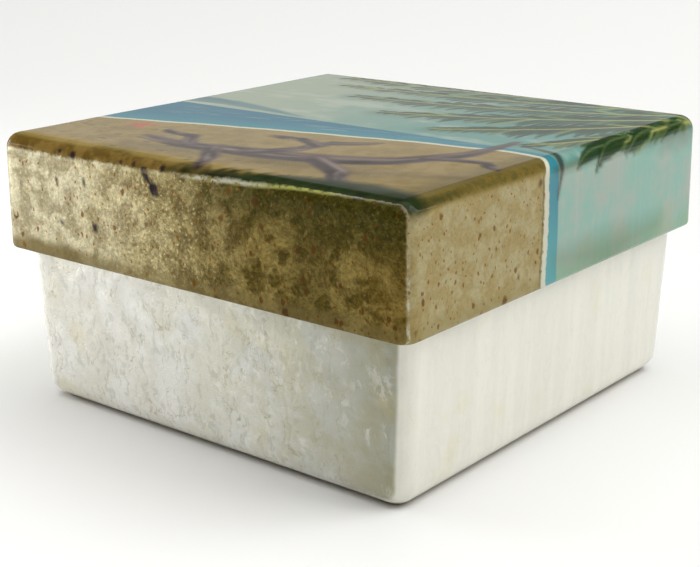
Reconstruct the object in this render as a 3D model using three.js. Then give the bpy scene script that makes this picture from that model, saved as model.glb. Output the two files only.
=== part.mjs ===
// A square shell keepsake box: an open tray and a lift-off lid whose deep skirt slips over it.
// Millimetres, +Z up. The origin is at the middle of the underside, and -Y is the front.
import * as THREE from "three";
import { mergeVertices } from "three/addons/utils/BufferGeometryUtils.js";

// Lid
const LID_WIDTH = 102; // across two opposite skirts, at the lower rim
const LID_TOP = 56;
const LID_RIM = 32.3;
const LID_DRAFT = 0.5; // degrees that each skirt leans inwards on its way up
const LID_CORNER = 3.4; // plan radius of an upright edge, at the lower rim
const LID_EDGE = 3.0; // rounding between the skirt and the top
const LID_WALL = 1.5;
const LID_CEILING = 1.8;
const LID_FILLET = 1.2; // rounding inside, between the skirt and the ceiling
const LID_LIP = 1.0; // rounding on the outside of the lower rim
const LID_LIP_INSIDE = 0.4;

// Box
const BOX_WIDTH = 94; // across two opposite walls, at the underside
const BOX_CORNER = 4.5; // plan radius of an upright edge, at the underside
const BOX_EDGE = 4.3; // rounding between the wall and the underside
const BOX_WALL = 1.8;
const BOX_FLOOR = 2;
const BOX_FILLET = 2.6; // rounding inside, between the wall and the floor
const BOX_LIP = 0.7; // rounding on both edges of the rim

// Fit between the two
const REST_GAP = 0.3; // from the rim of the box up to the ceiling of the lid
const SIDE_GAP = 0.3; // from the rim of the box out to the skirt

// Facets
const CORNER_STEPS = 8; // around each upright edge
const ARC_STEPS = 6; // along each rounding of the profile
const SAME_POINT = 1e-4; // points closer than this are one

const slope = (degrees) => Math.tan(THREE.MathUtils.degToRad(degrees));
const boxRim = LID_TOP - LID_CEILING - REST_GAP;
const lidHalf = (z) => LID_WIDTH / 2 - (z - LID_RIM) * slope(LID_DRAFT);
const boxRimHalf = lidHalf(boxRim) - LID_WALL - SIDE_GAP;
const boxSlope = (boxRimHalf - BOX_WIDTH / 2) / boxRim;
const boxHalf = (z) => BOX_WIDTH / 2 + z * boxSlope;

// A profile is a list of [half width, height] corners with a rounding on each. It comes back as points
// from one end to the other, with an arc of ARC_STEPS segments in place of every rounded corner.
function roundedProfile(corners) {
  const points = [];
  corners.forEach(([x, z, radius = 0], i) => {
    const corner = new THREE.Vector2(x, z);
    if (radius === 0) {
      points.push(corner);
      return;
    }
    const before = new THREE.Vector2(...corners[i - 1].slice(0, 2)).sub(corner).normalize();
    const after = new THREE.Vector2(...corners[i + 1].slice(0, 2)).sub(corner).normalize();
    const halfAngle = Math.acos(before.dot(after)) / 2;
    const middle = before.clone().add(after).setLength(radius / Math.sin(halfAngle)).add(corner);
    const start = before.clone().setLength(radius / Math.tan(halfAngle)).add(corner).sub(middle);
    const sweep = (Math.PI - 2 * halfAngle) * Math.sign(after.cross(before));
    for (let step = 0; step <= ARC_STEPS; step += 1) {
      const spoke = start.clone().rotateAround(new THREE.Vector2(), (sweep * step) / ARC_STEPS);
      points.push(spoke.add(middle));
    }
  });
  return points;
}

// One moulded shell. The profile is turned as a lathe does, about a standing axis. Then each quarter of
// it slides out to its own corner, so that the round plan becomes a square one with rounded corners.
// cornerCentre is the distance of those corners' centres from both middle lines.
function mouldedShell(profile, cornerCentre) {
  const columns = 4 * (CORNER_STEPS + 1);
  const geometry = new THREE.LatheGeometry(profile, columns);
  const position = geometry.getAttribute("position");
  for (let column = 0; column <= columns; column += 1) {
    const quarter = Math.floor((column % columns) / (CORNER_STEPS + 1));
    const step = (column % columns) % (CORNER_STEPS + 1);
    const angle = (Math.PI / 2) * (quarter + step / CORNER_STEPS);
    const diagonal = (Math.PI / 2) * (quarter + 0.5);
    profile.forEach(({ x, y }, row) => {
      const radius = x === 0 ? 0 : x - cornerCentre;
      const centre = x === 0 ? 0 : cornerCentre * Math.SQRT2;
      position.setXYZ(
        column * profile.length + row,
        centre * Math.cos(diagonal) + radius * Math.cos(angle),
        centre * Math.sin(diagonal) + radius * Math.sin(angle),
        y,
      );
    });
  }
  geometry.deleteAttribute("normal");
  geometry.deleteAttribute("uv");
  return mergeVertices(geometry, SAME_POINT);
}

// The lid's profile runs from the middle of its ceiling, down inside the skirt and up outside it.
function lidGeometry() {
  const ceiling = LID_TOP - LID_CEILING;
  const profile = roundedProfile([
    [0, ceiling],
    [lidHalf(ceiling) - LID_WALL, ceiling, LID_FILLET],
    [lidHalf(LID_RIM) - LID_WALL, LID_RIM, LID_LIP_INSIDE],
    [lidHalf(LID_RIM), LID_RIM, LID_LIP],
    [lidHalf(LID_TOP), LID_TOP, LID_EDGE],
    [0, LID_TOP],
  ]);
  return mouldedShell(profile, LID_WIDTH / 2 - LID_CORNER);
}

// The box's profile runs from the middle of its underside, up outside the wall and down inside it.
function boxGeometry() {
  const profile = roundedProfile([
    [0, 0],
    [boxHalf(0), 0, BOX_EDGE],
    [boxHalf(boxRim), boxRim, BOX_LIP],
    [boxHalf(boxRim) - BOX_WALL, boxRim, BOX_LIP],
    [boxHalf(BOX_FLOOR) - BOX_WALL, BOX_FLOOR, BOX_FILLET],
    [0, BOX_FLOOR],
  ]);
  return mouldedShell(profile, BOX_WIDTH / 2 - BOX_CORNER);
}

function mesh(name, geometry, color, roughness) {
  const made = new THREE.Mesh(geometry, new THREE.MeshStandardMaterial({ color, roughness, metalness: 0 }));
  made.name = name;
  return made;
}

const group = new THREE.Group();
group.add(mesh("box", boxGeometry(), 0xdcd9ca, 0.3));
group.add(mesh("lid", lidGeometry(), 0xa39a78, 0.15));

export default group;
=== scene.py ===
"""A square shell keepsake box: bare pearly shell below, a painted and lacquered lid above."""

import math
import random
from types import SimpleNamespace

import bmesh
import bpy
import numpy as np
from mathutils import Matrix, Vector, noise


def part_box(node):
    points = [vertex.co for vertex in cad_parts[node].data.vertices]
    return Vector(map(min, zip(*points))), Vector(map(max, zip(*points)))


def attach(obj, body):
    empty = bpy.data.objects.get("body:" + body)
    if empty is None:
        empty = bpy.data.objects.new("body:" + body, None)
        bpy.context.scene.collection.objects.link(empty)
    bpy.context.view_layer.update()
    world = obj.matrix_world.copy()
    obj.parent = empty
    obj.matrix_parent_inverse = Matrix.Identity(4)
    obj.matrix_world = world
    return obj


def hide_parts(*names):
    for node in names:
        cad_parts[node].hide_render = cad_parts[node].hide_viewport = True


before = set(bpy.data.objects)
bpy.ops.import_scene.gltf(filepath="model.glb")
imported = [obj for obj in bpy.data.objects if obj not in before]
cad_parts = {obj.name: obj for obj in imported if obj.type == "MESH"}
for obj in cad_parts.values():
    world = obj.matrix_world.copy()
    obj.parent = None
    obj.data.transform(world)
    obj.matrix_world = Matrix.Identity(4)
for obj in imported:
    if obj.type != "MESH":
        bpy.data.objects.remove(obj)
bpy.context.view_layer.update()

# Sizes. The mesh is made in metres, and MM turns the maker's millimetres into them.
MM = 0.001
lid_low, lid_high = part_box("lid")
box_low, box_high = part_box("box")
LID_DRAFT = math.tan(math.radians(0.5))
LID_ROUND = 3.1 * MM
LID_WALL = 1.5 * MM
LID_CEILING = 1.8 * MM
LID_FILLET = 1.2 * MM
LID_LIP = 1.0 * MM
LID_LIP_INSIDE = 0.4 * MM
LID_GRID = 0.46 * MM
LID_ROWS = 0.9 * MM
BOX_UNDERSIDE = 47 * MM
BOX_DRAFT = (box_high.x - BOX_UNDERSIDE) / (box_high.z - box_low.z)
BOX_ROUND = 4.4 * MM
BOX_WALL = 1.8 * MM
BOX_FLOOR = 2 * MM
BOX_FILLET = 2.6 * MM
BOX_LIP = 0.7 * MM
BOX_GRID = 0.6 * MM
ROUND_STEPS = 12


# Shapes of the two shells

def open_tub(half_at_rim, half_at_end, rim_z, end_z, radius, steps):
    """A drafted square tub, open at the rim, rounded on its upright edges and around its closed end."""
    bm = bmesh.new()
    bmesh.ops.create_cube(bm, size=2)
    for vert in bm.verts:
        at_rim = vert.co.z < 0
        half = half_at_rim if at_rim else half_at_end
        vert.co = Vector((vert.co.x * half, vert.co.y * half, rim_z if at_rim else end_z))
    open_side = min(bm.faces, key=lambda face: abs(face.calc_center_median().z - rim_z))
    bmesh.ops.delete(bm, geom=[open_side], context="FACES_ONLY")
    folds = [edge for edge in bm.edges if not edge.is_boundary]
    bmesh.ops.bevel(
        bm, geom=folds, offset=radius, offset_type="OFFSET", affect="EDGES",
        segments=steps, profile=0.5, material=-1, clamp_overlap=True,
    )
    return bm


def divide_along(bm, axis, step):
    """Cuts every long edge that runs along the axis, so that the flats become a grid."""
    longest = 8 * step
    runs = []
    for edge in bm.edges:
        line = edge.verts[1].co - edge.verts[0].co
        if line.length > longest and abs(line.normalized()[axis]) > 0.99:
            runs.append(edge)
    length = max(edge.calc_length() for edge in runs)
    bmesh.ops.subdivide_edges(bm, edges=runs, cuts=round(length / step), use_grid_fill=True)


def shift_by(bm, amount):
    """Moves the surface by amount(point), against its normals, so that it isn't a machine's.

    The lid dips. The box swells instead, because open_tub turns its cube inside out to put the rim on top.
    """
    bm.normal_update()
    moves = [(vert, vert.normal * -amount(vert.co)) for vert in bm.verts]
    for vert, move in moves:
        vert.co += move


def arc_rows(inwards, z, radius, start, end, steps):
    """Points on an arc of the wall's section, as (distance inwards from the outside, height)."""
    turns = [math.radians(start + (end - start) * k / steps) for k in range(1, steps + 1)]
    return [(inwards + radius * math.cos(a), z + radius * math.sin(a)) for a in turns]


def run_inside(bm, corner_centre, rows, lip_rows):
    """Carries the open rim on through the section's rows, then closes the last one flat.

    The rows of the lip keep the outside's finish, and the rest takes the inside's.
    """
    ring = [edge for edge in bm.edges if edge.is_boundary]
    reached = 0
    for row, (inwards, z) in enumerate(rows):
        grown = bmesh.ops.extrude_edge_only(bm, edges=ring)["geom"]
        ring = [item for item in grown if isinstance(item, bmesh.types.BMEdge) and item.is_boundary]
        for face in {face for edge in ring for face in edge.link_faces}:
            face.material_index = 0 if row < lip_rows else 1
        for vert in [item for item in grown if isinstance(item, bmesh.types.BMVert)]:
            spoke = Vector((outside_of(vert.co.x, corner_centre), outside_of(vert.co.y, corner_centre)))
            spoke = spoke.normalized() * (inwards - reached)
            vert.co = Vector((vert.co.x - spoke.x, vert.co.y - spoke.y, z))
        reached = inwards
    for face in bmesh.ops.holes_fill(bm, edges=ring, sides=0)["faces"]:
        face.material_index = 1


def outside_of(value, limit):
    """How far a value lies past plus or minus the limit, with its sign."""
    return value - max(-limit, min(limit, value))


def finished(bm, name, materials):
    """The bmesh as a smooth-shaded object at the origin."""
    bmesh.ops.remove_doubles(bm, verts=bm.verts, dist=1e-7)
    bmesh.ops.recalc_face_normals(bm, faces=bm.faces)
    mesh = bpy.data.meshes.new(name)
    bm.to_mesh(mesh)
    bm.free()
    mesh.polygons.foreach_set("use_smooth", [True] * len(mesh.polygons))
    for material in materials:
        mesh.materials.append(material)
    made = bpy.data.objects.new(name, mesh)
    bpy.context.scene.collection.objects.link(made)
    return made


def lid_dip(point):
    """The lacquered lid is flat to the touch, with a slow swell in its reflections."""
    slow = 0.045 * (1 + noise.noise(point / (26 * MM)))
    quick = 0.012 * (1 + noise.noise(point / (5 * MM)))
    return (slow + quick) * MM


def make_lid(materials):
    rim = lid_low.z + LID_LIP
    half = lid_high.x
    height = lid_high.z - rim
    bm = open_tub(half, half - height * LID_DRAFT, rim, lid_high.z, LID_ROUND, ROUND_STEPS)
    divide_along(bm, 0, LID_GRID)
    divide_along(bm, 1, LID_GRID)
    divide_along(bm, 2, LID_ROWS)
    shift_by(bm, lid_dip)
    ceiling = lid_high.z - LID_CEILING
    lean = (ceiling - rim) * LID_DRAFT
    rows = arc_rows(LID_LIP, rim, LID_LIP, 180, 270, 5)
    rows += arc_rows(LID_WALL - LID_LIP_INSIDE, lid_low.z + LID_LIP_INSIDE, LID_LIP_INSIDE, 270, 360, 3)
    rows += [(LID_WALL + lean * 0.5, (ceiling + rim) / 2)]
    rows += [(LID_WALL + lean, ceiling - LID_FILLET)]
    rows += arc_rows(LID_WALL + lean + LID_FILLET, ceiling - LID_FILLET, LID_FILLET, 180, 90, 5)
    run_inside(bm, half - LID_ROUND, rows, 8)
    return finished(bm, "lid_shell", materials)


def box_swell(point):
    """Hand-laid shell: a slow swell, and low puckers that run mostly upwards."""
    slow = 0.05 * (1 + noise.noise(point / (24 * MM)))
    laid = Vector((point.x / (3.2 * MM), point.y / (3.2 * MM), point.z / (7 * MM)))
    pucker = 0.03 * (1 - abs(noise.noise(laid + Vector((3.1, 0, 0))))) ** 3
    return (slow + pucker) * MM


def make_box(materials):
    rim = box_high.z - BOX_LIP
    half = BOX_UNDERSIDE + (rim - box_low.z) * BOX_DRAFT
    bm = open_tub(half, BOX_UNDERSIDE, rim, box_low.z, BOX_ROUND, ROUND_STEPS)
    floor = [face for face in bm.faces if all(vert.co.z < box_low.z + 1e-6 for vert in face.verts)]
    bmesh.ops.delete(bm, geom=floor, context="FACES_ONLY")
    divide_along(bm, 0, BOX_GRID)
    divide_along(bm, 1, BOX_GRID)
    divide_along(bm, 2, BOX_GRID)
    underside = [edge for edge in bm.edges if edge.is_boundary and edge.verts[0].co.z < rim - BOX_LIP]
    bmesh.ops.holes_fill(bm, edges=underside, sides=0)
    shift_by(bm, lambda point: box_swell(point) * min(1, point.z / BOX_ROUND))
    lean = (rim - BOX_FLOOR - BOX_FILLET) * BOX_DRAFT
    rows = arc_rows(BOX_LIP, rim, BOX_LIP, 180, 90, 5)
    rows += arc_rows(BOX_WALL - BOX_LIP, rim, BOX_LIP, 90, 0, 5)
    rows += [(BOX_WALL + lean, BOX_FLOOR + BOX_FILLET)]
    rows += arc_rows(BOX_WALL + lean + BOX_FILLET, BOX_FLOOR + BOX_FILLET, BOX_FILLET, 180, 270, 8)
    run_inside(bm, half - BOX_ROUND, rows, 10)
    return finished(bm, "box_shell", materials)


# Figures on the lid, brushed on in plan. The sides are folded out flat around the top for it, so that
# a stroke can run over an edge. Lengths are in millimetres.

TOP = 56
HALF = 51
MAUVE = (0.085, 0.053, 0.050)
UMBER = (0.024, 0.012, 0.010)
BLEACHED = (0.220, 0.160, 0.135)
LEAF = (0.014, 0.040, 0.010)
GRASS = (0.014, 0.026, 0.006)
MOSS = (0.050, 0.090, 0.018)
SPROUT = (0.160, 0.230, 0.080)
RIB = (0.400, 0.390, 0.130)
INK = (0.016, 0.010, 0.020)
CORAL = (0.420, 0.100, 0.050)
CREAM = (0.600, 0.560, 0.400)
HAZE = (0.090, 0.200, 0.220)
RIB_POINTS = 30

brush = random.Random(7)


class Painting:
    """Colour and cover at every point of a mesh, laid on stroke by stroke."""

    def __init__(self, mesh):
        points = np.empty(len(mesh.vertices) * 3)
        mesh.vertices.foreach_get("co", points)
        points = points.reshape(-1, 3) / MM
        limit = HALF - LID_ROUND / MM
        past = points[:, :2] - np.clip(points[:, :2], -limit, limit)
        length = np.linalg.norm(past, axis=1, keepdims=True)
        self.plan = points[:, :2] + past / np.maximum(length, 1e-6) * (TOP - points[:, 2:])
        self.layer = np.zeros((len(points), 4))

    def stroke(self, line, widths, colour, cover=1.0, soft=0.35):
        """A brush stroke along a line of points, whose width is given at its points or evenly spaced."""
        line = np.array(line, float)
        along = np.linspace(0, 1, len(line))
        half = np.interp(along, np.linspace(0, 1, len(widths)), widths) / 2
        reach = half.max() + soft
        near = ((self.plan > line.min(0) - reach) & (self.plan < line.max(0) + reach)).all(1)
        near = np.flatnonzero(near)
        step = line[1:] - line[:-1]
        spot = self.plan[near][:, None, :] - line[None, :-1]
        share = np.clip((spot * step).sum(-1) / np.maximum((step * step).sum(-1), 1e-9), 0, 1)
        reached = half[:-1] + (half[1:] - half[:-1]) * share
        gap = np.linalg.norm(spot - step * share[..., None], axis=-1) - reached
        amount = np.clip(0.5 - gap.min(1) / soft, 0, 1)[:, None] * cover
        self.layer[near] = self.layer[near] * (1 - amount) + np.array([*colour, 1]) * amount

    def store(self, mesh):
        layer = mesh.attributes.new("art", "FLOAT_COLOR", "POINT")
        layer.data.foreach_set("color", self.layer.astype(np.float32).ravel())


def arch(start, middle, end, count):
    """Points from start to end that are drawn towards the middle point on their way."""
    t = np.linspace(0, 1, count)[:, None]
    return start * (1 - t) ** 2 + middle * 2 * t * (1 - t) + end * t ** 2


def bow(start, end, bend, count=14):
    """Points from start to end that bow out sideways by bend."""
    start, end = np.array(start, float), np.array(end, float)
    side = np.array([start[1] - end[1], end[0] - start[0]])
    side = side / max(np.linalg.norm(side), 1e-6) * bend * 2
    return arch(start, (start + end) / 2 + side, end, count)


def shade_of(colour, spread):
    """The colour, a little lighter or darker."""
    k = 1 + brush.uniform(-spread, spread)
    return tuple(c * k for c in colour)


def frond(painting, start, end, bend, leaf):
    """A fern frond: narrow leaves off both sides of a yellow rib, hanging towards the front."""
    rib = bow(start, end, bend, RIB_POINTS)
    painting.stroke(rib - (0, leaf * 0.12), (leaf * 0.7, leaf * 0.8, leaf * 0.3), LEAF, 0.4, leaf * 0.5)
    hang = np.array([0.3, -0.6])
    for k in range(1, RIB_POINTS - 1):
        share = k / (RIB_POINTS - 1)
        ahead = (rib[k + 1] - rib[k - 1]) / np.linalg.norm(rib[k + 1] - rib[k - 1])
        across = np.array([-ahead[1], ahead[0]])
        longest = leaf * (0.35 + 0.75 * math.sin(math.pi * min(1, 0.15 + share * 0.82)))
        for side in (-1, 1):
            length = longest * brush.uniform(0.6, 1.15)
            way = ahead * 0.85 + side * across * (0.8 - 0.4 * share)
            reach = rib[k] + way * length * 0.8
            line = arch(rib[k], reach, reach + hang * length * brush.uniform(0.2, 0.45), 6)
            colour = brush.choice((LEAF, LEAF, LEAF, MOSS, SPROUT))
            painting.stroke(line, (1.0, 1.5, 0.2), shade_of(colour, 0.4), 0.85, 0.5)
    painting.stroke(rib, (1.1, 0.5), RIB, 0.8, 0.5)


def branch(painting, points, widths):
    """Weathered wood, with grain along it."""
    line = np.concatenate([bow(a, b, brush.uniform(-0.8, 0.8), 8) for a, b in zip(points, points[1:])])
    painting.stroke(line, [width * 1.25 for width in widths], MAUVE, 0.55, 1.2)
    painting.stroke(line, widths, MAUVE, 0.7, 0.6)
    thick = max(widths)
    painting.stroke(line - (0, thick * 0.3), [width * 0.5 for width in widths], UMBER, 0.8, 1.0)
    painting.stroke(line + (0, thick * 0.22), [width * 0.25 for width in widths], BLEACHED, 0.5, 0.8)
    for _ in range(4 * round(thick)):
        shift = np.array([brush.uniform(-0.15, 0.15), brush.uniform(-0.4, 0.4)]) * thick
        first = brush.randrange(0, len(line) * 3 // 4)
        part = line[first : first + brush.randrange(3, 9)] + shift
        colour = brush.choice((UMBER, UMBER, BLEACHED))
        painting.stroke(part, (0.4, brush.uniform(0.8, 1.8), 0.2), shade_of(colour, 0.3), 0.7, 0.6)


def paint_water(painting):
    """A low headland in haze on the horizon, and pale ripples on the sea."""
    headland = [(-80, 0), (-53, 1), (-38, 2.4), (-24, 0.4), (-14, -1.5)]
    painting.stroke(headland, (6, 6, 5, 3, 0.5), HAZE, 0.85, 1.2)
    painting.stroke([(-80, 2), (-53, 3), (-44, 4), (-36, 2)], (4, 4, 3, 0.5), shade_of(HAZE, 0.5), 0.6, 1.2)
    for _ in range(34):
        x = brush.uniform(-48, 44)
        y = brush.uniform(-20, -5) * (0.5 - x / 140)
        ripple = bow((x, y), (x + brush.uniform(3, 9), y + 1.6), 0.3, 6)
        painting.stroke(ripple, (0.1, 0.5, 0.1), CREAM, 0.22, 0.5)


def paint_driftwood(painting):
    """A forked branch that lies on the sand, over its soft shadow."""
    painting.stroke([(-22, -42), (2, -40), (28, -36), (47, -30)], (4, 7, 7, 2), UMBER, 0.3, 5)
    trunk = [(-25, -35), (-12, -37), (2, -35), (16, -32), (29, -25), (36, -13), (37, 2)]
    branch(painting, trunk, (1.4, 4, 6, 6.6, 5.4, 4, 1.6))
    branch(painting, [(2, -35), (8, -27), (9, -20), (17, -14)], (4.4, 3.4, 2.6, 0.8))
    branch(painting, [(9, -23), (2, -20), (-5, -20.5)], (3, 2, 0.4))
    branch(painting, [(-12, -36.5), (-17, -30), (-26, -28)], (3.4, 2.4, 0.5))
    branch(painting, [(16, -32), (27, -39), (35, -47)], (4.6, 3.6, 2.6))
    branch(painting, [(-6, -36), (0, -43), (3, -49)], (3.6, 2.8, 2.2))
    branch(painting, [(32, -20), (43, -17), (48, -20)], (3, 2, 0.6))


def paint_beach(painting):
    """Pebbles and a starfish."""
    for _ in range(26):
        x, y = brush.uniform(-46, 20), brush.uniform(-47, -30)
        size = brush.uniform(0.4, 0.9)
        painting.stroke([(x, y), (x + 0.7, y + 0.1)], (size,), shade_of(UMBER, 0.8), 0.5, 0.5)
    middle = np.array([-34, -28])
    for k in range(5):
        turn = math.radians(20 + 72 * k)
        arm = bow(middle, middle + 3.6 * np.array([math.cos(turn), math.sin(turn)]), 0.2, 5)
        painting.stroke(arm, (1.9, 0.7), shade_of(CORAL, 0.2), 0.9, 0.5)


def paint_ferns(painting):
    """Fronds from beyond the right-hand back corner, and leaves that hang over the right-hand edge."""
    for start, end, bend, leaf in (
        ((51, 55), (-40, 46), 4, 10), ((51, 52), (-34, 37), 4, 9), ((52, 48), (-22, 26), 5, 10),
        ((52, 43), (-4, 13), 4, 11), ((52, 37), (16, 4), 3, 10), ((52, 30), (40, 1), 2, 7),
        ((51.5, 48), (52, 12), -1, 4),
    ):
        frond(painting, start, end, bend, leaf)
    painting.stroke([(53, -6), (52.5, 8), (53, 22), (52.5, 44)], (1.6, 2.6, 1.8, 2.6), MOSS, 0.5, 1.4)
    for start, end, bend, widths in (
        ((50, 22), (56, 8), -2.4, (1.6, 6, 4.4, 0.4)), ((50.5, 13), (54, 1), -1, (1, 4.4, 3, 0.3)),
        ((50, 32), (54.5, 20), -1, (1, 4, 3, 0.3)), ((51, 45), (54, 34), -1, (0.8, 2.6, 1.6, 0.3)),
    ):
        painting.stroke(bow(start, end, bend), widths, LEAF, 0.95, 0.6)
        painting.stroke(bow(start, end, bend - 0.5), (0.6, 0.3), SPROUT, 0.5, 0.5)
    # Green low down on the same side, and a dark line beside the sea where it comes over the edge
    painting.stroke([(70, -5), (72.5, 14), (71, 34)], (2, 8, 2), MOSS, 0.4, 6)
    painting.stroke([(38, 0.2), (45, -1.5), (51, -3.6), (58, -5.4)], (0.2, 1.4, 1.8, 0.6), UMBER, 0.8, 0.7)


def paint_grass(painting):
    """Dark dune grass along the front edge."""
    edge_band = [(-4, -51.6), (12, -50.6), (25, -48), (38, -46.2), (50, -47.8)]
    painting.stroke(edge_band, (0.4, 2.2, 6.4, 8.6, 6), GRASS, 0.95, 3)
    painting.stroke([(50, -50), (51, -46), (50.5, -34)], (4, 2.4, 0.4), GRASS, 0.6, 2.4)
    for _ in range(150):
        x = brush.triangular(-4, 50, 36)
        base = np.array([x, -51.2])
        tip = base + np.array([brush.uniform(-3, 6), brush.uniform(2, 4.5 + max(0, x) * 0.12)])
        blade = bow(base, tip, brush.uniform(-0.8, 0.8), 6)
        painting.stroke(blade, (1.4, 1.1, 0.3), shade_of(GRASS, 0.7), 0.45, 1.1)


def paint_drips(painting):
    """Dark drops of paint on the front, some of them on its top edge."""
    for x, down, size in (
        (-33, 0.9, 1.0), (-29, 1.4, 1.5), (-15.7, 0.9, 0.9), (-12.2, 0.8, 1.0), (-4.8, 0.6, 1.3),
        (-41, 2.4, 0.7), (-34, 7.3, 0.9), (-26, 6.6, 1.0), (-23.4, 15, 1.6), (-33, 15.7, 0.7),
        (-45, 10, 0.6), (-12, 12, 0.5),
    ):
        y = -HALF - down
        painting.stroke([(x, y), (x + 0.1, y - size * 0.5)], (size, size * 0.8), INK, 0.9, 0.45)
    painting.stroke([(-9.4, -52.8), (-8.8, -54), (-7.8, -55.4)], (1.5, 1.6, 0.4), INK, 0.95, 0.4)
    painting.stroke([(-6.9, -56), (-6.4, -57)], (2.3, 1.9), INK, 1.0, 0.4)


def paint_figures(mesh):
    painting = Painting(mesh)
    for paint in (paint_water, paint_driftwood, paint_beach, paint_ferns, paint_grass, paint_drips):
        paint(painting)
    painting.store(mesh)


# Writing patterns as arithmetic on shader sockets

class Wire:
    """A value or a colour in a shader tree."""

    def __init__(self, tree, socket):
        self.tree = tree
        self.socket = socket

    def math(self, operation, *others):
        node = self.tree.nodes.new("ShaderNodeMath")
        node.operation = operation
        for slot, value in zip(node.inputs, (self, *others)):
            feed(slot, value)
        return Wire(self.tree, node.outputs[0])

    def __add__(self, other):
        return self.math("ADD", other)

    def __sub__(self, other):
        return self.math("SUBTRACT", other)

    def __mul__(self, other):
        return self.math("MULTIPLY", other)

    def __truediv__(self, other):
        return self.math("DIVIDE", other)

    def between(self, low, high, to_low=0.0, to_high=1.0):
        """Eases from to_low to to_high while this goes from low to high."""
        node = self.tree.nodes.new("ShaderNodeMapRange")
        node.interpolation_type = "SMOOTHSTEP"
        for slot, value in zip(node.inputs, (self, low, high, to_low, to_high)):
            feed(slot, value)
        return Wire(self.tree, node.outputs[0])

    def follow(self, *spots):
        """The height of a smooth line through spots (along, height), where along is this."""
        low = min(height for _, height in spots)
        span = max(height for _, height in spots) - low
        first, last = spots[0][0], spots[-1][0]
        node = self.tree.nodes.new("ShaderNodeFloatCurve")
        curve = node.mapping.curves[0]
        for k, (along, height) in enumerate(spots):
            spot = ((along - first) / (last - first), (height - low) / span)
            if 0 < k < len(spots) - 1:
                curve.points.new(*spot)
            else:
                curve.points[0 if k == 0 else -1].location = spot
        node.mapping.update()
        feed(node.inputs["Value"], (self - first) * (1 / (last - first)))
        return Wire(self.tree, node.outputs[0]) * span + low

    def over(self, below, colour, mode="MIX"):
        """Lays a colour on the one below, as far as this says."""
        node = self.tree.nodes.new("ShaderNodeMix")
        node.data_type = "RGBA"
        node.blend_type = mode
        feed(node.inputs[0], self)
        feed(node.inputs[6], below)
        feed(node.inputs[7], colour)
        return Wire(self.tree, node.outputs[2])

    def moved(self, other, operation="ADD"):
        """This vector plus another one, or another vector operation."""
        node = self.tree.nodes.new("ShaderNodeVectorMath")
        node.operation = operation
        feed(node.inputs[0], self)
        feed(node.inputs["Scale" if operation == "SCALE" else 1], other)
        return Wire(self.tree, node.outputs[0])

    def part(self, axis):
        """One of this vector's three numbers."""
        node = self.tree.nodes.new("ShaderNodeSeparateXYZ")
        feed(node.inputs[0], self)
        return Wire(self.tree, node.outputs[axis])


def feed(slot, value):
    if isinstance(value, Wire):
        value.tree.links.new(value.socket, slot)
    elif isinstance(value, (tuple, list)) and len(value) == 3 and len(slot.default_value) == 4:
        slot.default_value = (*value, 1)
    else:
        slot.default_value = value


def noise_at(place, scale, detail=2.0, roughness=0.5, colour=False):
    """Noise around 0.5. Scale is in bumps a millimetre, as place is in millimetres."""
    node = place.tree.nodes.new("ShaderNodeTexNoise")
    feed(node.inputs["Vector"], place)
    for name, value in (("Scale", scale), ("Detail", detail), ("Roughness", roughness)):
        feed(node.inputs[name], value)
    return Wire(place.tree, node.outputs[1 if colour else 0])


def swayed(place, scale, amount):
    """The place, pushed about by noise."""
    push = noise_at(place, scale, 2, colour=True).moved((0.5, 0.5, 0.5), "SUBTRACT")
    return place.moved(push.moved(amount * 2, "SCALE"))


def stretched(place, x, y, z):
    return place.moved((x, y, z), "MULTIPLY")


def effect(name, inputs, outputs, build):
    """A shader node group. Inputs are (name, kind, value), and build turns their wires into the outputs'."""
    tree = bpy.data.node_groups.new(name, "ShaderNodeTree")
    for label, kind, value in inputs:
        socket = tree.interface.new_socket(label, in_out="INPUT", socket_type=kind)
        if value is not None:
            socket.default_value = value
    for label in outputs:
        tree.interface.new_socket(label, in_out="OUTPUT", socket_type="NodeSocketFloat")
    way_in = tree.nodes.new("NodeGroupInput")
    way_out = tree.nodes.new("NodeGroupOutput")
    made = build(*(Wire(tree, socket) for socket in way_in.outputs[: len(inputs)]))
    for slot, value in zip(way_out.inputs, made):
        feed(slot, value)
    return tree


def use(group, tree, **values):
    """Places a group in a tree, and gives its outputs as wires."""
    node = tree.nodes.new("ShaderNodeGroup")
    node.node_tree = group
    for label, value in values.items():
        feed(node.inputs[label], value)
    return [Wire(tree, socket) for socket in node.outputs]


def build_crinkle(place, fibre):
    """Thin shell laid up by hand: torn flakes, folds, grain and fine upright fibres."""
    warped = swayed(swayed(place, 0.09, 2.0), 0.6, 0.35)
    squat = stretched(warped, 1, 1, 1.1)
    grain = noise_at(squat, 1.2, 5, 0.75)
    flake = noise_at(squat, 0.24, 3, 0.6)
    fold = (noise_at(squat, 0.16, 4, 0.62) - 0.5).math("ABSOLUTE").between(0.0, 0.022, 1.0, 0.0)
    fine = noise_at(stretched(warped, 1, 1, 0.2), 1.7, 3, 0.6)
    height = grain * 0.6 + flake * 0.9 + fine * fibre - fold * 0.12
    return height, grain, flake, fine


def build_flecks(place, spacing, radius, share):
    """Round blots with frayed rims, on a share of the cells of a loose grid."""
    node = place.tree.nodes.new("ShaderNodeTexVoronoi")
    feed(node.inputs["Vector"], swayed(place, 1.6, 0.35).moved(spacing, "DIVIDE"))
    feed(node.inputs["Scale"], 1.0)
    away, chance = (Wire(place.tree, socket) for socket in node.outputs[:2])
    size = (chance.part(1) * 0.75 + 0.25) * radius / spacing
    inside = (away / size).between(0.6, 1.2, 1.0, 0.0)
    return (inside * chance.part(0).math("LESS_THAN", share),)


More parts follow.
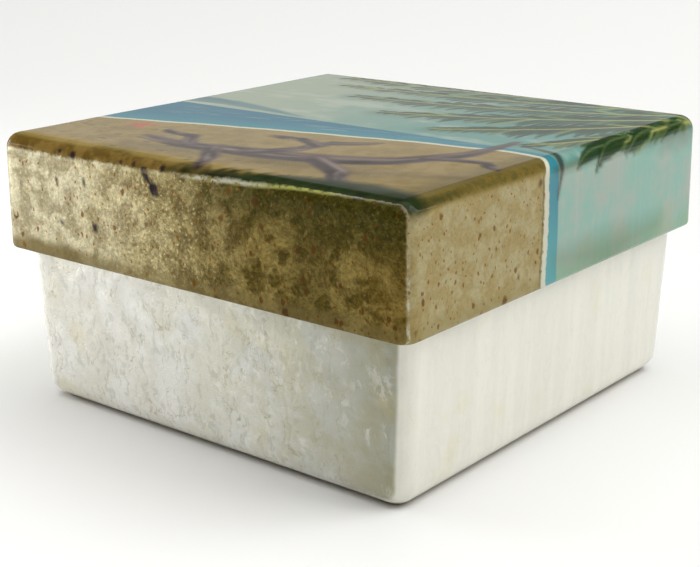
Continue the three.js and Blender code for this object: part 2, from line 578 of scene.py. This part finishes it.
crinkle = effect(
    "shell_crinkle",
    [("Place", "NodeSocketVector", None), ("Fibre", "NodeSocketFloat", 0.35)],
    ["Height", "Grain", "Flake", "Fine"],
    build_crinkle,
)
flecks = effect(
    "flecks",
    [
        ("Place", "NodeSocketVector", None), ("Spacing", "NodeSocketFloat", 3.0),
        ("Radius", "NodeSocketFloat", 0.4), ("Share", "NodeSocketFloat", 0.3),
    ],
    ["Mask"],
    build_flecks,
)


def new_material(name):
    """A material with a place in millimetres, and its Principled shader."""
    material = bpy.data.materials.new(name)
    material.use_nodes = True
    tree = material.node_tree
    shader = tree.nodes["Principled BSDF"]
    where = tree.nodes.new("ShaderNodeTexCoord")
    place = Wire(tree, where.outputs["Object"]).moved(1 / MM, "SCALE")
    return material, tree, shader, place


def lacquered(shader, roughness, ior, below):
    """A clear gloss coat, over a surface that itself mirrors white light only as far as below says."""
    shader.inputs["Coat Weight"].default_value = 1
    shader.inputs["Coat Roughness"].default_value = roughness
    shader.inputs["Coat IOR"].default_value = ior
    shader.inputs["Specular IOR Level"].default_value = below


def bumped(tree, shader, height, strength, distance):
    bump = tree.nodes.new("ShaderNodeBump")
    bump.inputs["Strength"].default_value = strength
    bump.inputs["Distance"].default_value = distance
    feed(bump.inputs["Height"], height)
    tree.links.new(bump.outputs[0], shader.inputs["Normal"])


def white_shades(place, wobble, front, smooth):
    """White with faint yellow patches, and painted shade that greys and darkens it towards the right of the
    front.
    """
    x, z = place.part(0), place.part(2)
    cloud = noise_at(swayed(place, 0.09, 5), 0.09, 4, 0.6)
    tint = noise_at(place.moved((40, 0, 7)), 0.07, 3, 0.6)
    colour = cloud.between(0.38, 0.62).over((0.79, 0.77, 0.67), (0.88, 0.87, 0.81))
    greyer = cloud.between(0.42, 0.58).over((0.77, 0.755, 0.64), (0.81, 0.82, 0.765))
    painted_shade = cloud.between(0.42, 0.58).over((0.34, 0.327, 0.205), (0.39, 0.395, 0.315))
    # Painted shade: the front greys and then darkens towards its right-hand corner, as the light falls off
    # there.
    across = x + wobble * 24 - z.between(0, 24, 9, 0)
    graded = across.between(-24, 6).over(colour, greyer)
    graded = across.between(2, 48).over(graded, painted_shade)
    colour = front.over(colour, graded)
    colour = (smooth * front.between(0, 1, 1.0, 0.0)).over(colour, (0.78, 0.77, 0.68))
    # Painted shade: darker and olive-grey down the left-hand upright corner.
    colour = (x + z * BOX_DRAFT + wobble).between(-45.9, -44.2, 0.7, 0.0).over(colour, (0.50, 0.49, 0.38))
    return (tint.between(0.56, 0.7) * smooth.between(0, 1, 0.4, 0.25)).over(colour, (0.72, 0.65, 0.38))


def with_creases(place, colour, rough):
    """Pale wisps, grey smears and dark creases, where the shell is laid over itself."""
    laid = swayed(place, 0.25, 2.5)
    wisp = noise_at(stretched(laid, 1, 1, 0.5), 0.55, 5, 0.68).between(0.5, 0.62)
    wisp = wisp * noise_at(place, 0.12, 2).between(0.42, 0.6)
    colour = (wisp * rough * 0.4).over(colour, (0.92, 0.92, 0.86))
    murk = noise_at(stretched(laid, 1, 1, 0.35), 0.7, 4, 0.6).between(0.5, 0.66)
    colour = (murk * rough * 0.35).over(colour, (0.40, 0.40, 0.30))
    crease = noise_at(stretched(laid, 1, 1, 0.4), 0.22, 3, 0.55) - 0.5
    crease = crease.math("ABSOLUTE").between(0.0, 0.014, 1.0, 0.0)
    crease = crease * noise_at(place, 0.3, 1).between(0.45, 0.6)
    return (crease * rough * 0.55).over(colour, (0.42, 0.37, 0.20))


def bare_shell():
    """Pearly white shell, crinkled in front and smoother on the right, with painted shade across the front
    and down its left-hand corner, and a dark seam at the floor.
    """
    material, tree, shader, place = new_material("bare_shell")
    height, grain, flake = use(crinkle, tree, Place=place, Fibre=0.5)[:3]
    x, y, z = (place.part(k) for k in range(3))
    wobble = noise_at(place, 0.05, 3) - 0.5
    front = (y + z * BOX_DRAFT + wobble * 0.8).between(-46.5, -45.8, 1.0, 0.0)
    smooth = (x - z * BOX_DRAFT).between(43.5, 45.5)
    rough = smooth.between(0, 1, 1.0, 0.15)
    colour = with_creases(place, white_shades(place, wobble, front, smooth), rough)
    streak = noise_at(stretched(place, 1, 1, 0.06), 0.2, 4, 0.7).between(0.4, 0.62, 0.97, 1.02)
    colour = smooth.over(colour, streak, "MULTIPLY")
    seam = z.between(0.3, 1.5, 1.0, 0.0)
    colour = (seam * 0.8).over(colour, (0.30, 0.23, 0.09))
    specks = use(flecks, tree, Place=place, Spacing=13, Radius=0.45, Share=0.5)[0]
    colour = specks.over(colour, (0.10, 0.08, 0.05))
    feed(shader.inputs["Base Color"], colour)
    feed(shader.inputs["Metallic"], flake.between(0.4, 0.6, 0.15, 0.4))
    feed(shader.inputs["Roughness"], grain.between(0.4, 0.6, 0.3, 0.5))
    lacquered(shader, 0.06, 1.35, 0.1)
    bumped(tree, shader, height * rough, 0.6, 0.35 * MM)
    return material


# Lines across the lid, as spots from left to right: how far back the surf and the horizon lie, and how
# high the painted highlight line at the top of the sand runs in front

SURF_LINE = ((-51, -28.5), (-41, -25.5), (0, -14.3), (30.6, -8.2), (42.8, -6.6), (51, -10.2))
HORIZON = ((-51, -3), (20, -3.2), (51, -5.4))
FRONT_RIM = ((-51, 52.8), (-20, 53.2), (7, 54.2), (33, 55.25), (51, 55.65))


def lid_map(place):
    """The lid's places, its shell's texture and the masks of its sides and areas, each a wire."""
    height, grain, flake, fine = use(crinkle, place.tree, Place=place, Fibre=0.15)
    x, y, z = (place.part(k) for k in range(3))
    wobble = noise_at(place, 0.1, 3) - 0.5
    inwards = y - (z - 32) * LID_DRAFT + fine * 0.6
    front = (inwards - z.between(53, 55.5, 0.0, 0.6)).between(-49.95, -49.5, 1.0, 0.0)
    rim = front.between(0, 1, 54.2, x.follow(*FRONT_RIM))
    side = (z - front * (rim - 53.4)).between(53.2, 54.9, 1.0, 0.0)
    shore = y - x.follow(*SURF_LINE) + wobble * 1.5
    beach = shore.between(-0.2, 0.2, 1.0, 0.0)
    return SimpleNamespace(
        place=place, x=x, y=y, z=z,
        height=height, grain=grain, flake=flake,
        wobble=wobble, torn=noise_at(place, 0.7, 3, 0.7),
        inwards=inwards, front=front, side=side, edge=z - rim + wobble * 0.5,
        strip=(z + wobble * 2).between(34.0, 36.4, 1.0, 0.0),
        shore=shore, beach=beach, rough=side * beach,
    )


def front_sand(at):
    """Sand on the front: pale at the left, dark gold at the right, darkest below the upper edge there; the
    darkening is partly pigment, partly painted shade.
    """
    x, z, wobble, flake = at.x, at.z, at.wobble, at.flake
    pale = flake.between(0.42, 0.58).over((0.44, 0.38, 0.23), (0.55, 0.50, 0.335))
    tan = flake.between(0.42, 0.58).over((0.35, 0.275, 0.120), (0.46, 0.390, 0.195))
    dark = flake.between(0.42, 0.58).over((0.098, 0.069, 0.010), (0.225, 0.165, 0.044))
    graded = (x + wobble * 30).between(-36, -4).over(pale, tan)
    graded = (x + wobble * 26).between(-20, 20).over(graded, dark)
    # A darker upright band right of the middle of the front: painted shade.
    shade_band = (x + wobble * 14 - 30).math("ABSOLUTE").between(1, 9, 0.6, 0.0)
    graded = shade_band.over(graded, (0.085, 0.062, 0.010))
    graded = x.between(38, 48, 0.0, 0.4).over(graded, (0.200, 0.122, 0.020))
    return ((z + wobble * 10).between(43, 54) * x.between(-14, 28)).over(graded, (0.056, 0.048, 0.006))


def sand_paint(at):
    """Sand, with glints in the front that are painted highlights, a duller strip along the lower rim and
    painted shade on the left-hand corner.
    """
    x, y, flake, front, side = at.x, at.y, at.flake, at.front, at.side
    sand = flake.between(0.4, 0.6).over((0.265, 0.185, 0.050), (0.31, 0.225, 0.075))
    plain = flake.between(0.42, 0.6).over((0.33, 0.255, 0.105), (0.38, 0.325, 0.165))
    sand = side.over(sand, front.over(plain, front_sand(at)))
    # The glints are painted highlights: bright yellow flecks in the sand's colour.
    glint = noise_at(swayed(at.place, 0.6, 0.5), 1.3, 3, 0.65).between(0.54, 0.68)
    shine = front.between(0, 1, 0.1, 0.6) * x.between(-5, 14, 1.0, 0.25) * side
    sand = (glint * shine).over(sand, x.between(-5, 20).over((0.80, 0.70, 0.38), (0.46, 0.38, 0.13)))
    lowest = front.over((0.27, 0.22, 0.08), (0.205, 0.158, 0.056))
    sand = (at.strip * x.between(-34, -14, 0.95, 0.5)).over(sand, lowest)
    # Painted shade down the lid's left-hand front corner.
    left = (x + at.torn).between(-49.0, -48.0, 0.9, 0.0) * y.between(-49, -46, 1.0, 0.0)
    return (left * side).over(sand, (0.19, 0.155, 0.075))


def shaded_bevel(at, sand):
    """The sand, darker and golden-brown on the bevel, which is painted shade, and darker on top beside the
    right-hand one.
    """
    wobble, torn = at.wobble, at.torn
    bevel = (at.edge + (torn - 0.5) * 2).between(0.1, 0.7) * (at.z + wobble).between(55.5, 55.98, 1.0, 0.0)
    bevel_shade = at.flake.between(0.4, 0.6).over((0.12, 0.070, 0.012), (0.22, 0.135, 0.030))
    beside = (at.x - at.y * 0.02 + wobble * 5).between(41, 49) * at.side.between(0, 1, 0.75, 0.0)
    sand = beside.over(sand, (0.13, 0.10, 0.025))
    golden = torn.between(0.4, 0.6).over((0.17, 0.11, 0.02), (0.10, 0.085, 0.02))
    return (bevel * 0.9).over(sand, at.front.over(golden, bevel_shade))


def with_edge_highlights(at, colour):
    """Painted highlights: a line along the crisp upper edge of the front, white, then yellow-green, then
    grey, and one down its upright edge.
    """
    x, torn = at.x, at.torn
    line = (at.edge + (torn - 0.5) * 0.7).math("ABSOLUTE") / x.between(15, 28, 1.0, 0.6)
    line = line.between(0.0, 0.7, 1.0, 0.0) * at.front
    line = line * x.follow((-51, 0.5), (-23, 0.35), (-3, 0.2), (7, 0.9), (36, 0.8), (51, 0.3))
    bright = x.between(14, 24).over((0.62, 0.60, 0.46), (0.46, 0.47, 0.12))
    bright = x.between(32, 40).over(bright, (0.40, 0.37, 0.33))
    bright = torn.between(0.44, 0.6).over(bright, (0.30, 0.28, 0.09))
    # A painted highlight down the front's right-hand upright corner.
    corner_highlight = (at.inwards + 49.45).math("ABSOLUTE").between(0.1, 0.35, 1.0, 0.0)
    corner_highlight = corner_highlight * x.between(48, 49) * torn.between(0.4, 0.6) * at.z.between(42, 50, 0.7, 0.2)
    return corner_highlight.over(line.over(colour, bright), (0.62, 0.60, 0.47))


def sea_and_sky(at):
    """Sea below and sky above the horizon, greener where they hang over the right-hand side."""
    x, z, wobble, shore = at.x, at.z, at.wobble, at.shore
    hangs = at.side * x.between(49.4, 50.3)
    sea = (shore + wobble * 4).between(0, 12).over((0.040, 0.23, 0.28), (0.022, 0.155, 0.23))
    sky = (x + wobble * 40).between(-40, 30).over((0.35, 0.41, 0.31), (0.13, 0.30, 0.26))
    cloud = noise_at(stretched(at.place, 0.5, 1, 1), 0.09, 3, 0.6)
    sky = (cloud.between(0.5, 0.65) * 0.5).over(sky, (0.48, 0.52, 0.43))
    hanging = cloud.between(0.35, 0.65).over((0.33, 0.39, 0.33), (0.22, 0.41, 0.34))
    hanging = (z + wobble * 12).between(32, 41, 0.4, 0.0).over(hanging, (0.17, 0.32, 0.11))
    streak = noise_at(stretched(at.place, 1, 1, 0.07), 0.9, 3, 0.6).between(0.5, 0.68)
    hanging = (streak * 0.09).over(hanging, (0.46, 0.50, 0.47))
    sky = hangs.over(sky, hanging)
    sea = (hangs * z.between(36, 50, 1.0, 0.0)).over(sea, (0.07, 0.30, 0.32))
    horizon = at.y - x.follow(*HORIZON) + wobble * 0.8
    return horizon.between(-0.25, 0.35).over(sea, sky)


def with_surf(at, colour):
    """A white line of surf along the shore, with a dark brink beside it on the sides."""
    shore, side = at.shore, at.side
    ragged = (noise_at(at.place, 0.8, 3, 0.7) - 0.5) * side * 0.9
    foam = (shore + ragged - 0.5).math("ABSOLUTE").between(side * 0.15 + 0.4, side * 0.15 + 0.8, 1.0, 0.0)
    colour = (foam * 0.9).over(colour, side.over((0.68, 0.65, 0.47), (0.60, 0.57, 0.44)))
    brink = (shore + ragged + 0.75).math("ABSOLUTE").between(0.1, 0.35, 1.0, 0.0)
    return (brink * side * 0.7).over(colour, (0.12, 0.16, 0.09))


def with_grain(at, colour):
    """The shell's grain in the sand of the sides, strongest in front, away from its left end and strip."""
    shade = at.grain.between(0.36, 0.64, 0.58, 1.37)
    depth = at.front.between(0, 1, 0.3, 0.95) * at.x.between(-45, -5, 0.55, 1.0)
    depth = depth * at.strip.between(0, 1, 1.0, 0.45)
    return (at.rough * depth).over(colour, shade, "MULTIPLY")


def with_figures(at, colour):
    """The figures stored on the mesh, which stop at the front's upper edge right of its middle."""
    tree = at.place.tree
    art = tree.nodes.new("ShaderNodeAttribute")
    art.attribute_name = "art"
    cover = Wire(tree, art.outputs["Alpha"])
    figures = Wire(tree, art.outputs["Color"])
    painted = cover.over(colour, (0, 0, 0)).moved(figures)
    below_edge = at.front * at.x.between(-8, 0) * at.edge.between(-0.4, 0.1, 1.0, 0.0)
    return below_edge.over(painted, colour)


def with_rust(at, colour):
    """Rust flecks in three sizes, in the sand of the sides."""
    rust = at.x.between(-10, 25).over((0.190, 0.078, 0.011), (0.100, 0.040, 0.004))
    rust = at.front.over((0.16, 0.074, 0.009), rust)
    many = at.x.between(-45, -5, 0.4, 1.0) * noise_at(at.place, 0.15, 2).between(0.38, 0.6, 0.4, 1.2)
    tall = stretched(at.place, 1, 1, 0.75)
    for spacing, radius, share, tone in (
        (1.1, 0.31, 0.75, 1.3), (2.3, 0.58, 0.8, 1.0), (5.5, 1.0, 1.0, 0.7),
    ):
        spot = use(flecks, tall.tree, Place=tall, Spacing=spacing, Radius=radius, Share=many * share)[0]
        colour = (spot * at.rough * 0.9).over(colour, rust.moved(tone, "SCALE"))
    return colour


def painted_shell():
    """The lid: sand, surf, sea and sky painted over shell, with rust flecks, painted shade and painted
    highlights, under gloss lacquer.
    """
    material, tree, shader, place = new_material("painted_shell")
    at = lid_map(place)
    colour = at.beach.over(sea_and_sky(at), shaded_bevel(at, sand_paint(at)))
    for layer in (with_surf, with_grain, with_figures, with_edge_highlights, with_rust):
        colour = layer(at, colour)
    feed(shader.inputs["Base Color"], colour)
    feed(shader.inputs["Metallic"], at.rough * at.flake.between(0.4, 0.6, 0.1, 0.4))
    feed(shader.inputs["Roughness"], at.grain.between(0.4, 0.6, 0.3, 0.5))
    lacquered(shader, 0.03, 1.35, 0.0)
    coat = at.rough.between(0, 1, 1.0, 0.4) * at.y.between(-50, -43, 0.35, 1.0)
    feed(shader.inputs["Coat Weight"], coat)
    bumped(tree, shader, at.height * at.rough.between(0, 1, 0.12, 1.0), 0.5, 0.35 * MM)
    return material


shell = bare_shell()
lid = make_lid([painted_shell(), shell])
paint_figures(lid.data)
box = make_box([shell, shell])
for piece, node, slot in ((lid, "lid", "painted_shell"), (box, "box", "bare_shell")):
    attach(piece, "root")
    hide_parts(node)


# Floor, studio light and camera

def make_floor():
    material, _, shader, _ = new_material("pale_floor")
    shader.inputs["Base Color"].default_value = (0.84, 0.84, 0.83, 1)
    shader.inputs["Roughness"].default_value = 0.7
    bm = bmesh.new()
    bmesh.ops.create_grid(bm, x_segments=2, y_segments=2, size=4)
    finished(bm, "floor", [material])


def direction(around, above):
    """The way out to a place around the box: 0 degrees is in front, 90 to the right, above is elevation."""
    around, above = math.radians(around), math.radians(above)
    level = Vector((math.sin(around), -math.cos(around), 0))
    return level * math.cos(above) + Vector((0, 0, math.sin(above)))


def soft_light(name, around, above, distance, size, watts):
    """A soft box aimed at the box."""
    lamp = bpy.data.lights.new(name, "AREA")
    lamp.shape = "RECTANGLE"
    lamp.size, lamp.size_y = size
    lamp.energy = watts
    made = bpy.data.objects.new(name, lamp)
    way = direction(around, above)
    made.location = Vector((0, 0, 0.03)) + way * distance
    made.rotation_euler = way.to_track_quat("Z", "Y").to_euler()
    bpy.context.scene.collection.objects.link(made)


def studio_world():
    """A white room: bright round the walls, a soft panel in the ceiling, dim between the two."""
    world = bpy.data.worlds.new("studio")
    bpy.context.scene.world = world
    world.use_nodes = True
    tree = world.node_tree
    way = Wire(tree, tree.nodes.new("ShaderNodeTexCoord").outputs["Generated"])
    high = way.part(2)
    walls = high.between(0.195, 0.26, 0.44, 0.08)
    panel = high.between(0.6, 1.0, 0.0, 2.1)
    behind_camera = (way.part(0) * 0.2 - way.part(1) * 0.98).between(0.2, 0.8, 1.0, 0.15)
    level = walls * behind_camera + panel
    tree.nodes["Background"].inputs["Color"].default_value = (1, 0.995, 0.98, 1)
    feed(tree.nodes["Background"].inputs["Strength"], level)


make_floor()
studio_world()
soft_light("key", 125, 42, 3.0, (2.3, 2.3), 56)
soft_light("side_fill", -66, 8, 0.3, (0.16, 0.12), 0.45)
bpy.context.scene.view_settings.view_transform = "Standard"

# The focal length is in pixels, as the frame's width is. The camera looks at a spot SPOT_HEIGHT above
# the origin and SPOT_SHIFT to the camera's right of it, so a little to the left.
FRAME_WIDTH = 700
FOCAL_LENGTH = 1414.9
SENSOR = 36
CAMERA_AROUND = 39.17
CAMERA_ABOVE = 16.91
CAMERA_ROLL = math.radians(-0.4)
CAMERA_DISTANCE = 298.707 * MM
SPOT_HEIGHT = 21.6648 * MM
SPOT_SHIFT = -1.785 * MM

back = direction(CAMERA_AROUND, CAMERA_ABOVE)
level = direction(CAMERA_AROUND + 90, 0)
upright = back.cross(level)
right = level * math.cos(CAMERA_ROLL) + upright * math.sin(CAMERA_ROLL)
up = upright * math.cos(CAMERA_ROLL) - level * math.sin(CAMERA_ROLL)
camera = bpy.data.objects.new("camera", bpy.data.cameras.new("camera"))
camera.data.sensor_width = SENSOR
camera.data.lens = FOCAL_LENGTH / FRAME_WIDTH * SENSOR
place = Vector((0, 0, SPOT_HEIGHT)) + level * SPOT_SHIFT + back * CAMERA_DISTANCE
camera.matrix_world = Matrix.Translation(place) @ Matrix((right, up, back)).transposed().to_4x4()
bpy.context.scene.collection.objects.link(camera)
bpy.context.scene.camera = camera
